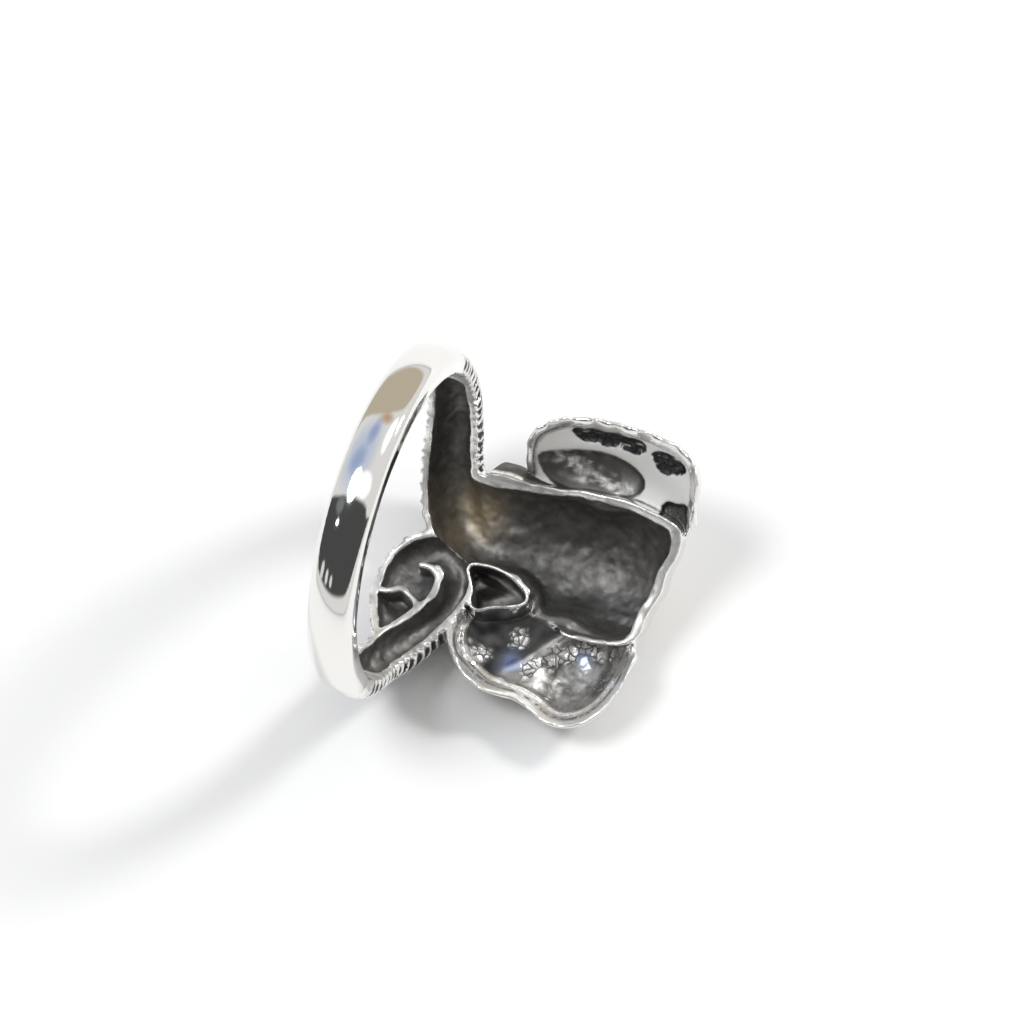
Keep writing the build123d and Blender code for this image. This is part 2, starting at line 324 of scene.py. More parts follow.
# Each ear's sheet across: where it starts and ends (u), its bulge, as a share, and its root's height
SheetRow = namedtuple("SheetRow", "y root reach bulge root_height")
UPPER_SHEET = (
    SheetRow(4.2, 3.9, 6.3, 0.1, 10.35),
    SheetRow(6.0, 3.3, 7.7, 0.7, 10.35),
    SheetRow(8.0, 3.0, 8.3, 1.0, 10.35),
    SheetRow(10.7, 3.0, 8.5, 1.0, 10.2),
    SheetRow(13.0, 3.0, 8.2, 0.7, 9.9),
    SheetRow(14.3, 3.0, 7.5, 0.3, 9.6),
    SheetRow(14.9, 3.1, 6.2, 0.05, 9.5),
)
LOWER_SHEET = (
    SheetRow(3.0, 4.2, 5.6, 0.05, 10.35),
    SheetRow(3.9, 3.8, 6.6, 0.45, 10.4),
    SheetRow(5.2, 3.3, 7.7, 0.95, 10.4),
    SheetRow(6.6, 3.1, 8.0, 0.90, 10.4),
    SheetRow(8.1, 3.1, 8.2, 0.45, 10.3),
    SheetRow(9.8, 3.1, 8.9, 1.0, 10.1),
    SheetRow(11.3, 3.1, 9.0, 1.15, 9.9),
    SheetRow(12.8, 3.1, 7.9, 0.75, 9.5),
    SheetRow(13.7, 3.2, 6.5, 0.3, 9.15),
    SheetRow(14.0, 3.3, 5.3, 0.0, 9.1),
)

# Eyes: distance from the head's middle, y and height over the bore
EYE = (3.3, 7.0, 2.4)
EYE_RADIUS = 0.62

# Bar between the lower trunk's side and the lower ear
BAR_TURN = -33.0
BAR_Y = (2.7, 4.0)
BAR_HEIGHT = 1.4
BAR_RADIUS = 0.33

# How softly one form runs into the next
HEAD_BLEND = 0.5
TUSK_BLEND = 0.3
EYE_BLEND = 0.08
BAR_BLEND = 0.25
EAR_BLEND = 0.25
EAR_HOLLOW_ROUNDING = 0.2
HOLLOW_BLEND = 0.35

# How rough the hollows are, by kind of roughness
HOLLOW_ROUGHNESS = {"mid": 0.055, "fine": 0.035, "slow": 0.05}

# Finish: where the hollow is warm (turn in degrees and y), and where the lower ear's back is bright or
# gets a painted blue reflection (u and y). Its bright facets lie that far past the ridge, about that u.
WARM_PLACE = Spot(10.0, 1.5, 8.0, 1.5, 1.0)
LOWER_BRIGHT = (
    Spot(6.9, 4.7, 0.6, 0.9, 1.0),
    Spot(5.4, 6.6, 0.75, 0.95, 1.0),
    Spot(4.8, 11.2, 0.6, 0.6, 0.8),
)
LOWER_FACETS = Spot(1.15, 6.4, 0.75, 1.2, 1.5)
LOWER_PAINTED_BLUE = (Spot(6.8, 6.9, 0.5, 0.6, 1.0), Spot(5.45, 10.8, 0.4, 0.4, 1.0))
# Pale streak along the upper ear's bowl: its u at a y, its slant and half width
STREAK_AT = (5.95, 5.4)
STREAK_SLANT = 0.27
STREAK_HALF = 0.40
# Dark line along the ears' rims: how far inside the edge, its reach and how dark it is
RIM_LINE_INSET = 0.12
RIM_LINE_REACH = 0.08
RIM_LINE_DARK = 1.1
# How dark the hollows, the folds and the wrinkles' grooves are
HOLLOW_TARNISH = 0.93
FOLD_TARNISH = 0.85
WRINKLE_TARNISH = 1.7
# Voxels round a place that tell if it is in a fold
FOLD_REACH = 3

# Colours of the silver: polished, in the hollows, warm there, deepest, and a painted blue reflection
SILVER = (0.88, 0.87, 0.845, 1.0)
HOLLOW_BLACK = (0.172, 0.167, 0.158, 1.0)
WARM_BROWN = (0.56, 0.46, 0.32, 1.0)
DEEPEST_BLACK = (0.045, 0.044, 0.048, 1.0)
PAINTED_BLUE_REFLECTION = (0.36, 0.46, 0.78, 1.0)

# Its texture: cells or features to the metre, and lengths in metres
MOTTLE_SCALE = 1300.0
MOTTLE_DETAIL = 5.0
FACET_SCALE = 1900.0
FACET_SWIRL = 0.0006
GRAIN_DEPTH = 0.00006
FACET_DEPTH = 0.00022

# Table, in metres
TABLE_REACH = 1.5
TABLE_WHITE = (0.93, 0.93, 0.925, 1.0)
TABLE_ROUGHNESS = 0.9

# Lamps: elevation in degrees, size in metres and power. The key stands to the image's right and away
# from the camera, by those shares.
Lamp = namedtuple("Lamp", "name elevation size power")
KEY = Lamp("key", 39, 0.12, 1.36)
FILL = Lamp("fill", 65, 0.22, 1.5)
KEY_RIGHT = 0.88
KEY_AWAY = 0.47
LAMP_DISTANCE = 0.6

# Room
ROOM_WHITE = (1.24, 1.235, 1.22, 1.0)
ROOM_STRENGTH = 0.62

# Camera: image right, image down and the way to the camera, in the ring's frame, with the pixel that
# the ring's origin falls on, the scale there, the distance in millimetres and the clipping in metres
IMAGE_RIGHT = (0.306, 0.9215, 0.238)
IMAGE_DOWN = (-0.952, 0.2962, 0.0765)
TO_CAMERA = (0.0, 0.25, -0.968)
IMAGE_SIZE = 1024
ORIGIN_PIXEL = (396.4, 520.0)
PIXELS_PER_MM = 17.2
CAMERA_DISTANCE = 340.0
SENSOR = 36.0
CLIP = (0.01, 10.0)


def resting():
    """Turn from the ring's own frame to the frame in which it lies."""
    roll = Matrix.Rotation(math.radians(REST_ROLL), 3, "Y")
    tilt = Matrix.Rotation(math.radians(-REST_TILT), 3, "X")
    return Matrix.Rotation(math.pi, 3, "Y") @ tilt @ roll


REST = resting()


def smooth_max(a, b, k):
    """The larger of two, with the corner between them rounded over k."""
    near = np.maximum(k - np.abs(a - b), 0) / k
    return np.maximum(a, b) + near * near * (k / 4)


def smooth_min(a, b, k):
    """The smaller of two, with the notch between them filled over k."""
    return -smooth_max(-a, -b, k)


def smoothstep(x, low, high):
    """From 0 at low to 1 at high."""
    t = np.clip((x - low) / (high - low), 0, 1)
    return t * t * (3 - 2 * t)


def fade(x, low, high):
    """From 1 at low to 0 at high."""
    return smoothstep(-x, -high, -low)


def band(x, reach):
    """1 where x is 0, falling off both ways."""
    return np.exp(-((x / reach) ** 2))


def spotted(q, y, *spots):
    """Size of soft round spots at places on a surface, added up."""
    return sum(
        spot.size * np.exp(-(((q - spot.q) / spot.q_reach) ** 2 + ((y - spot.y) / spot.y_reach) ** 2))
        for spot in spots
    )


def corners():
    """The eight corners of a cell, as steps from its lowest one."""
    for corner in range(8):
        yield np.array([corner & 1, corner >> 1 & 1, corner >> 2 & 1])


def noise(points, scale, seed, size=32):
    """Smooth value noise from -1 to 1, with features about as large as scale."""
    lattice = np.random.default_rng(seed).random((size, size, size), dtype=np.float32) * 2 - 1
    q = points / scale
    cell = np.floor(q).astype(np.int32)
    f = q - cell
    f = f * f * (3 - 2 * f)
    total = np.zeros(len(points), np.float32)
    for step in corners():
        index = (cell + step) % size
        weight = np.prod(np.where(step, f, 1 - f), axis=1)
        total += weight * lattice[index[:, 0], index[:, 1], index[:, 2]]
    return total


def rounded(points, step, closed=False):
    """Points along a smooth curve through the given ones (all columns), about step apart in the
    first two columns."""
    p = np.array(points, float)
    count = len(p) if closed else len(p) - 1
    out = []
    for i in range(count):
        a = p[(i - 1) % len(p)] if closed or i else p[0]
        b, c = p[i], p[(i + 1) % len(p)]
        d = p[(i + 2) % len(p)] if closed or i + 2 < len(p) else p[-1]
        pieces = max(2, math.ceil(np.hypot(*(c - b)[:2]) / step))
        square = 2 * a - 5 * b + 4 * c - d
        cube = 3 * b - a - 3 * c + d
        for t in np.arange(pieces) / pieces:
            out.append((2 * b + (c - a) * t + square * t**2 + cube * t**3) / 2)
    if not closed:
        out.append(p[-1])
    return np.array(out, np.float32)


def swept(px, py, samples):
    """Nearest place on a sweep for points on the unrolled finger: the distance from its path and the
    other columns there. The nearest place is the one whose edge is nearest."""
    path = samples[:, :2]
    half = samples[:, 2]
    count = len(px)
    lateral = np.empty(count, np.float32)
    values = np.empty((count, samples.shape[1] - 2), np.float32)
    for start in range(0, count, POINTS_AT_ONCE):
        part = slice(start, start + POINTS_AT_ONCE)
        p = np.stack([px[part], py[part]], 1)
        gap = np.hypot(p[:, :1] - path[:, 0], p[:, 1:] - path[:, 1]) - half
        best = np.argmin(gap, axis=1)
        found = np.full(len(p), np.inf, np.float32)
        taken = np.zeros((len(p), samples.shape[1] - 2), np.float32)
        for other in (np.maximum(best - 1, 0), np.minimum(best, len(samples) - 2)):
            a, b = path[other], path[other + 1]
            along = b - a
            t = np.clip(((p - a) * along).sum(1) / np.maximum((along * along).sum(1), 1e-9), 0, 1)
            d = np.hypot(*(p - a - along * t[:, None]).T)
            column = samples[other, 2:] + (samples[other + 1, 2:] - samples[other, 2:]) * t[:, None]
            nearer = d - column[:, 0] < found
            found = np.where(nearer, d - column[:, 0], found)
            lateral[part] = np.where(nearer, d, lateral[part])
            taken = np.where(nearer[:, None], column, taken)
        values[part] = taken
    return lateral, values


def dome(q, t, half, height, side):
    """Distance to a section with upright sides and an elliptical crown."""
    up = np.maximum(t - side, 0)
    tall = np.maximum(height - side, 0.05)
    half = np.maximum(half, 0.05)
    k0 = np.hypot(q / half, up / tall)
    k1 = np.hypot(q / half**2, up / tall**2)
    return np.where(k0 < 1e-4, -np.minimum(half, tall), k0 * (k0 - 1) / np.maximum(k1, 1e-6))


def outline_distance(px, py, outline):
    """Signed distance to a closed outline of samples, below zero inside it."""
    ax, ay = outline.T
    bx, by = np.roll(outline, -1, axis=0).T
    dx, dy = bx - ax, by - ay
    out = np.empty(len(px), np.float32)
    for start in range(0, len(px), POINTS_AT_ONCE):
        part = slice(start, start + POINTS_AT_ONCE)
        x, y = px[part][:, None], py[part][:, None]
        t = np.clip(((x - ax) * dx + (y - ay) * dy) / (dx * dx + dy * dy), 0, 1)
        d = np.hypot(x - ax - dx * t, y - ay - dy * t).min(axis=1)
        crosses = ((ay > y) != (by > y)) & (x < dx * (y - ay) / np.where(dy == 0, 1e-9, dy) + ax)
        out[part] = np.where(crosses.sum(axis=1) % 2 == 1, -d, d)
    return out


def path_distance(px, py, path):
    """Distance to an open path of samples."""
    out = np.full(len(px), np.inf, np.float32)
    for a, b in zip(path[:-1], path[1:]):
        along = b - a
        t = np.clip(((px - a[0]) * along[0] + (py - a[1]) * along[1]) / (along @ along), 0, 1)
        out = np.minimum(out, np.hypot(px - a[0] - along[0] * t, py - a[1] - along[1] * t))
    return out


def on_cylinder(rows, radius=BORE):
    """Rows of (turn, y, ...) with the turn made into a length round the finger."""
    return [(radius * math.radians(r[0]), *r[1:]) for r in rows]


def trunk_path():
    """The trunk's sweep, evenly spaced, with the length along it as a last column."""
    rows = rounded(on_cylinder(TRUNK, 1.0), TRUNK_STEP / BORE)
    flat = np.stack([rows[:, 0] * BORE, rows[:, 1]], 1)
    run = np.concatenate([[0], np.cumsum(np.hypot(*np.diff(flat, axis=0).T))]).astype(np.float32)
    even = np.arange(0, run[-1], TRUNK_SPACING)
    return np.stack([np.interp(even, run, column) for column in (*rows.T, run)], 1).astype(np.float32)


def tusk_path(hand):
    """One tusk's sweep: turn, y, half width and height."""
    middle = HEAD_TURN - (UPPER_DROP if hand == 1 else 0.0)
    rows = [(math.radians(middle + hand * r.away), r.y, r.half, r.height) for r in TUSK]
    return rounded(rows, TUSK_STEP)


# The tables as smooth paths and outlines
TRUNK_PATH = trunk_path()
TUSK_PATHS = {hand: tusk_path(hand) for hand in (1, -1)}
OUTLINES = {1: rounded(UPPER_OUTLINE, OUTLINE_STEP, True), -1: rounded(LOWER_OUTLINE, OUTLINE_STEP, True)}
SHEETS = {1: rounded(UPPER_SHEET, SHEET_STEP), -1: rounded(LOWER_SHEET, SHEET_STEP)}
HEAD_PATH = rounded(HEAD, HEAD_STEP)
DENT_PATHS = {name: rounded(outline, DENT_STEP, True) for name, outline in UPPER_DENTS.items()}
POCKET_PATH = rounded(on_cylinder(POCKET), POCKET_STEP, True)
CURL_PATHS = [(rounded(on_cylinder(wall.line), CURL_STEP), wall.half) for wall in CURL_WALLS]


def trunk_field(y, rho, theta, rough):
    """Outside of the trunk, its hollow, and how deep in a wrinkle's groove each place is. The trunk
    passes its own start, so each place is looked up at its turn and one turn back."""
    count = len(y)
    turn = np.mod(theta, 2 * np.pi)
    turns = np.concatenate([turn, turn - 2 * np.pi])
    near = (turns > -SEAM_OVERLAP) & (turns < 2 * np.pi)
    outer = np.full(2 * count, FAR, np.float32)
    hollow = np.full(2 * count, FAR, np.float32)
    groove = np.zeros(2 * count, np.float32)
    path = TRUNK_PATH.copy()
    path[:, 0] *= BORE + TRUNK_LIFT
    q, v = swept(turns[near] * (BORE + TRUNK_LIFT), np.tile(y, 2)[near], path)
    half, height, side, wrinkle, run = v.T
    t = np.tile(rho, 2)[near] - BORE
    slow, mid = (np.tile(rough[name], 2)[near] for name in ("slow", "mid"))
    phase = run / WRINKLE_PITCH + WRINKLE_WANDER[0] * slow + WRINKLE_WANDER[1] * mid
    ridge = (0.5 + 0.5 * np.cos(2 * np.pi * phase)) ** WRINKLE_SHARPNESS
    fold = wrinkle * WRINKLE_RISE * (1 + 0.5 * mid) * (ridge - WRINKLE_LEVEL)
    outer[near] = dome(q, t, half, height, side) - fold
    groove[near] = wrinkle * (1 - ridge)
    degrees = np.degrees(turns[near])
    to_end = np.minimum(np.abs(degrees - HOLLOW_ENDS[0]), np.abs(degrees - HOLLOW_ENDS[1]))
    solid = (degrees > HOLLOW_ENDS[0]) & (degrees < HOLLOW_ENDS[1])
    end = np.where(solid, to_end, -to_end) * math.radians(1) * BORE
    inside = dome(q, t, half - WALL, height - WALL, side - HOLLOW_SIDE_DROP)
    hollow[near] = smooth_max(inside, end.astype(np.float32), HOLLOW_END_ROUNDING)
    nearer = outer[:count] < outer[count:]
    return (
        np.where(nearer, outer[:count], outer[count:]),
        np.minimum(hollow[:count], hollow[count:]),
        np.where(nearer, groove[:count], groove[count:]),
    )


def shank_field(y, rho, theta):
    """The polished back of the ring, whose bore is the finger's."""
    turn = np.degrees(np.mod(theta, 2 * np.pi))
    away = np.abs(turn - 180)
    side = np.abs(y + SHANK_LEAN * (180 - turn) / 90)
    crown = (rho - BORE - SHANK_THICKNESS + SHANK_CROWN * side * side) / 1.1
    section = smooth_max(side - SHANK_WIDTH / 2, crown, SHANK_EDGE)
    section = smooth_max(section, BORE - rho, SHANK_BORE_EDGE)
    sunk = SHANK_SINK * smoothstep(away, SHANK_REACH - SHANK_FADE, SHANK_REACH)
    return section + sunk + (away > SHANK_REACH) * FAR


def head_frame(x, z, turn):
    """Across the head and out of it, for a head at that turn."""
    cos, sin = np.cos(np.radians(turn)), np.sin(np.radians(turn))
    return x * cos - z * sin, x * sin + z * cos


def head_field(x, y, z):
    """Outside of the head and its hollow."""
    turn, half, height = (np.interp(y, HEAD_PATH[:, 0], column) for column in HEAD_PATH.T[1:])
    u, v = head_frame(x, z, turn)
    t = v - BORE
    q = np.abs(u)
    temple = spotted(q, y, TEMPLE)
    shape = dome(q, t, half, height, HEAD_SIDE) - spotted(q, y, BROW) * (t > 0) + temple
    shape = shape + spotted(q, y, SOCKET) - spotted(q, y, EYE_RIDGE) + spotted(q, y, CLEFT)
    crown = y - CROWN_Y - CROWN_SLANT * u + CROWN_WAVE * np.sin(CROWN_WAVES * u)
    foot = HEAD_FOOT - y
    outer = smooth_max(smooth_max(shape, crown, CROWN_ROUNDING), foot, FOOT_ROUNDING)
    wall = WALL - THIN_RIM * smoothstep(-u, *THIN_ACROSS) * smoothstep(y, *THIN_ALONG)
    inner = dome(q, t, half - wall, height - WALL, HEAD_SIDE) + temple * smoothstep(t, *TEMPLE_INSIDE)
    hollow = smooth_max(inner, crown + CROWN_WALL, CROWN_HOLLOW_ROUNDING)
    hollow = smooth_max(hollow, foot + WALL, FOOT_ROUNDING)
    return np.maximum(outer, HEAD_FROM - v), np.maximum(hollow, HEAD_FROM - v)


def beyond_ridge(q, y):
    """How far a place on the lower ear is past the ridge between its two lobes."""
    return q - RIDGE_AT[0] + RIDGE_SLANT * (y - RIDGE_AT[1])


def upper_relief(q, y, off, rough):
    """The upper ear's back with its dents, and the distance to each dent's outline."""
    seen = (q > 2.5) & (q < 9) & (y > 4) & (y < 15.5) & (np.abs(off) < 1.2)
    marks = {}
    for name, outline in DENT_PATHS.items():
        mark = np.full(len(q), FAR, np.float32)
        mark[seen] = outline_distance(q[seen], y[seen], outline)
        marks[name] = mark + (0.16 * rough["mid"] + 0.08 * rough["fine"]) * (name != "bowl")
        off = off - DENT_DEPTH[name] * smoothstep(-marks[name], -0.08, 0.3) * (off < 0)
    bumpy = smoothstep(-np.minimum(marks["trough"], marks["scar"]), -0.1, 0.1)
    return off - bumpy * 0.10 * rough["fine"] * (off < 0), marks


def lower_relief(q, y, off, edge, rough):
    """The lower ear's back with its raised spots, crumpled stretch, ridge and lip."""
    spots = spotted(q, y, *LOWER_RISES)
    off = off + spots * (0.12 + 0.10 * rough["mid"] + 0.13 * rough["fine"]) * (off < 0)
    crumpled = smoothstep(y, *CRUMPLED_FROM) * smoothstep(-edge, *CRUMPLED_INSET)
    off = off + crumpled * (0.05 * rough["mid"] + 0.06 * rough["fine"]) * (off < 0)
    ridge = band(beyond_ridge(q, y), RIDGE_REACH) * smoothstep(q, *RIDGE_STARTS) * fade(q, *RIDGE_ENDS)
    lip = LIP_HEIGHT * band(edge + LIP_INSET, LIP_REACH) * smoothstep(q, *LIP_STARTS)
    return off + (RIDGE_HEIGHT * ridge + lip) * (off < 0)


# An ear at some places: its distance, how far they are off its sheet's middle (below 0 at the back),
# from its outline and from the head's middle, and the distances to its dents
Ear = namedtuple("Ear", "distance off edge q marks")


def ear_field(hand, x, y, z, rough):
    """One ear: a domed sheet with a rolled rim."""
    u, v = head_frame(x, z, HEAD_TURN)
    q = u * hand
    sheet = SHEETS[hand]
    root, reach, bulge, root_height = (np.interp(y, sheet[:, 0], column) for column in sheet.T[1:])
    span = reach - root
    t = np.clip((q - root) / span, -0.3, 1.15)
    drop = EAR_EDGE_V - root_height
    rise = EAR_BULGE * bulge
    middle = root_height + drop * t + 4 * rise * t * (1 - t)
    slope = (drop + 4 * rise * (1 - 2 * t)) / span
    edge = outline_distance(q, y, OUTLINES[hand])
    off = (v - middle) / np.sqrt(1 + slope * slope)
    marks = {}
    if hand == 1:
        off, marks = upper_relief(q, y, off, rough)
    else:
        off = lower_relief(q, y, off, edge, rough)
    skin = smooth_max(np.abs(off) - EAR_THICKNESS / 2, edge, EAR_EDGE_ROUNDING)
    bumps = EAR_BEAD_BUMPS[hand] * rough["mid"] + 0.04 * rough["fine"]
    bead = np.hypot(edge - EAR_BEAD_OUT, off + 0.02) - EAR_BEAD * (1 + bumps)
    bead = bead + (1 - smoothstep(q, *EAR_BEAD_STARTS)) * 0.6
    return Ear(smooth_min(skin, bead, EAR_BEAD_BLEND), off, edge, q, marks)


def tusk_field(hand, y, rho, theta):
    """Outside of one tusk."""
    path = TUSK_PATHS[hand].copy()
    path[:, 0] *= BORE + TUSK_LIFT
    q, v = swept(theta * (BORE + TUSK_LIFT), y, path)
    half, height = v.T
    return dome(q, rho - BORE, half, height, TUSK_SIDE)


def eye_field(u, y, v):
    """The two eyes."""
    across, along, up = EYE
    return np.sqrt((np.abs(u) - across) ** 2 + (y - along) ** 2 + (v - BORE - up) ** 2) - EYE_RADIUS


def bar_field(x, y, z):
    """The short bar between the lower trunk's side and the lower ear."""
    angle = math.radians(BAR_TURN)
    radius = BORE + BAR_HEIGHT
    past_end = np.maximum(np.maximum(BAR_Y[0] - y, y - BAR_Y[1]), 0)
    aside = (x - radius * math.sin(angle)) ** 2 + (z - radius * math.cos(angle)) ** 2
    return np.sqrt(aside + past_end**2) - BAR_RADIUS


def scoop_field(u, y, v):
    """Scoop in the head's wall."""
    middle, reach = SCOOP_MIDDLE, SCOOP_REACH
    across = (u - middle[0]) / reach[0]
    along = (y - middle[1]) / reach[1]
    up = (v - middle[2]) / reach[2]
    return (np.sqrt(across**2 + along**2 + up**2) - 1) * SCOOP_SCALE


def ring_field(points):
    """Distance to the ring's metal, below zero inside it, with the parts that its finish needs."""
    x, y, z = points.astype(np.float32).T
    rho = np.hypot(x, z)
    theta = np.arctan2(x, z)
    u, v = head_frame(x, z, HEAD_TURN)
    rough = {name: noise(points, scale, seed) for name, (scale, seed) in ROUGHNESS.items()}

    # Outside of all but the ears and the shank
    trunk, trunk_hollow, groove = trunk_field(y, rho, theta, rough)
    head, head_hollow = head_field(x, y, z)
    outer = smooth_min(trunk, head, HEAD_BLEND)
    face = outer
    for hand in (1, -1):
        outer = smooth_min(outer, tusk_field(hand, y, rho, theta), TUSK_BLEND)
    cheek = np.where(outer < face - 0.01, outer, FAR)
    outer = smooth_min(outer, eye_field(u, y, v), EYE_BLEND)
    outer = smooth_min(outer, bar_field(x, y, z), BAR_BLEND)

    # The hollows, and what stands in them
    s = theta * BORE
    for path, half in CURL_PATHS:
        wall = half - path_distance(s, y, path)
        trunk_hollow = smooth_max(trunk_hollow, wall, CURL_WALL_ROUNDING)
    pocket = outline_distance(s, y, POCKET_PATH)
    pocket_wall = POCKET_WALL + POCKET_WALL_FLARE * np.clip(rho - BORE, 0, 3) - pocket
    head_hollow = smooth_max(head_hollow, pocket_wall, POCKET_WALL_BLEND)
    hollow = smooth_min(trunk_hollow, head_hollow, HOLLOW_BLEND)
    hollow = hollow + sum(depth * rough[name] for name, depth in HOLLOW_ROUGHNESS.items())
    past_pocket = rho - BORE - POCKET_DEPTH
    pocket_hollow = smooth_max(pocket, past_pocket, POCKET_END_ROUNDING)
    skin = outer + POCKET_SKIN - 2 * (1 - smoothstep(rho, BORE + 0.5, BORE + 1.3))
    pocket_hollow = smooth_max(pocket_hollow, skin, POCKET_SKIN_BLEND)
    hollow = np.minimum(hollow, pocket_hollow)
    body = smooth_max(outer, -hollow, ROUNDING)
    body = smooth_max(body, -scoop_field(u, y, v), SCOOP_ROUNDING)
    pocket_rim = np.maximum(np.abs(pocket - POCKET_RIM) - POCKET_RIM, past_pocket)
    body = smooth_min(body, pocket_rim, POCKET_RIM_BLEND)
    body = smooth_max(body, -pocket_hollow, POCKET_EDGE_ROUNDING)

    # The ears, the bore and the shank
    ears = {}
    for hand in (1, -1):
        ear = ear_field(hand, x, y, z, rough)
        cut = -np.minimum(head_hollow + 0.1, pocket_hollow)
        distance = smooth_max(ear.distance, cut, EAR_HOLLOW_ROUNDING)
        body = smooth_min(body, distance, EAR_BLEND)
        ears[hand] = ear._replace(distance=distance)
    body = smooth_max(body, RIM_BORE - rho, ROUNDING)
    shank = shank_field(y, rho, theta)
    body = np.minimum(body, shank)
    off_ears = smoothstep(np.minimum(ears[1].distance, ears[-1].distance), 0.05, 0.3)
    on_trunk = smoothstep(trunk, -0.3, -0.12) * (trunk < 0.2) * (hollow > 0.25)
    return body, {
        "hollow": hollow,
        "rho": rho,
        "theta": np.degrees(theta),
        "ears": ears,
        "rough": rough,
        "u": u,
        "cheek": cheek,
        "groove": groove * on_trunk * off_ears,
        "shank": smoothstep(-shank, -0.06, -0.02),
    }


def sampled_field(low, high):
    """The distance field on a grid: coarse first, then fine only near the metal's surface."""
    size = np.ceil((high - low) / (VOXEL * COARSE)).astype(int)
    step = VOXEL * COARSE
    index = np.stack(np.meshgrid(*(np.arange(n) for n in size), indexing="ij"), -1).reshape(-1, 3)
    centres = low + (index + 0.5) * step - VOXEL / 2
    coarse, _ = ring_field(centres.astype(np.float32))
    field = np.sign(coarse).reshape(size) * BAND
    for axis in range(3):
        field = np.repeat(field, COARSE, axis)
    field = field.astype(np.float32)
    active = index[np.abs(coarse) < BAND]
    inner = np.stack(np.meshgrid(*(np.arange(COARSE),) * 3, indexing="ij"), -1).reshape(-1, 3)
    for start in range(0, len(active), CELLS_AT_ONCE):
        cells = active[start : start + CELLS_AT_ONCE, None, :] * COARSE + inner
        cells = cells.reshape(-1, 3)
        values, _ = ring_field((low + cells * VOXEL).astype(np.float32))
        field[cells[:, 0], cells[:, 1], cells[:, 2]] = np.clip(values, -BAND, BAND)
    return field


def blurred(field, reach):
    """Running mean over a box of 2 x reach + 1 voxels."""
    for axis in range(3):
        total = np.cumsum(field, axis=axis, dtype=np.float64).astype(np.float32)
        total = np.moveaxis(total, axis, 0)
        out = np.empty_like(total)
        out[reach + 1 : -reach] = total[2 * reach + 1 :] - total[: -2 * reach - 1]
        out[: reach + 1] = total[reach : 2 * reach + 1]
        out[-reach:] = total[-1] - total[-2 * reach - 1 : -reach - 1]
        field = np.moveaxis(out / (2 * reach + 1), 0, axis)
    return field


def looked_up(field, cells):
    """Values of a grid at fractional indices."""
    base = np.clip(np.floor(cells).astype(int), 0, np.array(field.shape) - 2)
    f = (cells - base).astype(np.float32)
    total = np.zeros(len(cells), np.float32)
    for step in corners():
        weight = np.prod(np.where(step, f, 1 - f), axis=1)
        i = base + step
        total += weight * field[i[:, 0], i[:, 1], i[:, 2]]
    return total


def ring_mesh():
    """The ring's skin, with attributes for its finish."""
    low, high = np.array(FIELD_LOW), np.array(FIELD_HIGH)
    field = sampled_field(low, high)
    grid = vdb.FloatGrid(BAND)
    grid.copyFromArray(field)
    points, triangles, quads = grid.convertToPolygons(isovalue=0.0, adaptivity=0.0)
    mesh = bpy.data.meshes.new("silver_skin")
    mesh.from_pydata((np.array(points) * VOXEL + low).tolist(), [], [*triangles.tolist(), *quads.tolist()])
    mesh.update()
    ring = bpy.data.objects.new("silver_skin", mesh)
    bpy.context.scene.collection.objects.link(ring)
    thinned(ring)
    mesh = ring.data
    places = np.empty(len(mesh.vertices) * 3, np.float32)
    mesh.vertices.foreach_get("co", places)
    places = places.reshape(-1, 3)
    finish(mesh, places, field, low)
    turned = places @ np.array(REST, np.float32).T * MM
    mesh.vertices.foreach_set("co", turned.ravel())
    mesh.polygons.foreach_set("use_smooth", np.ones(len(mesh.polygons), bool))
    mesh.update()
    return ring


def thinned(ring):
    """Fewer triangles, with the modifier's result kept as the mesh."""
    triangles = sum(len(p.vertices) - 2 for p in ring.data.polygons)
    thin = ring.modifiers.new("Thin", "DECIMATE")
    thin.ratio = min(1.0, MOST_TRIANGLES / triangles)
    shown = ring.evaluated_get(bpy.context.evaluated_depsgraph_get())
    mesh = bpy.data.meshes.new_from_object(shown)
    ring.modifiers.clear()
    ring.data = mesh
    mesh.name = "silver_skin"


# How an ear's back is finished, as the attributes of the same names, and how satin its bead is
Coat = namedtuple("Coat", "tarnish satin crumple tint bead_satin")


def upper_coat(ear, y, back, rough):
    """The upper ear's back: satin, with a dark bowl, a pale streak in it and black dents."""
    shown = {name: smoothstep(-mark, -0.04, 0.08) for name, mark in ear.marks.items()}
    beside = np.abs(ear.q - STREAK_AT[0] + STREAK_SLANT * (y - STREAK_AT[1])) - STREAK_HALF
    streak = smoothstep(0.55 * rough["mid"] + 0.5 * rough["fine"] - beside, -0.1, 0.5)
    streak = streak * smoothstep(y, 5.0, 6.0) * smoothstep(11.4 - y, 0.0, 1.5)
    rough_dents = np.maximum(shown["trough"], shown["scar"])
    speckle = smoothstep(rough["fine"] + 0.5 * rough["mid"], 0.35, 0.7)
    dark = shown["bowl"] * (1.05 + 0.3 * rough["mid"] - streak)
    dark = np.maximum(dark, rough_dents * (1.5 - 1.3 * speckle))
    dark = np.maximum(dark, shown["notch"] * 1.5)
    crumple = back * (0.35 * shown["bowl"] * streak + 0.7 * shown["trough"] + 0.7 * shown["scar"])
    satin = back * (1 - smoothstep(dark, 0.3, 0.8)) * 0.95
    return Coat(dark, satin, crumple, 0.0, 0.3 + 0.3 * rough["mid"])


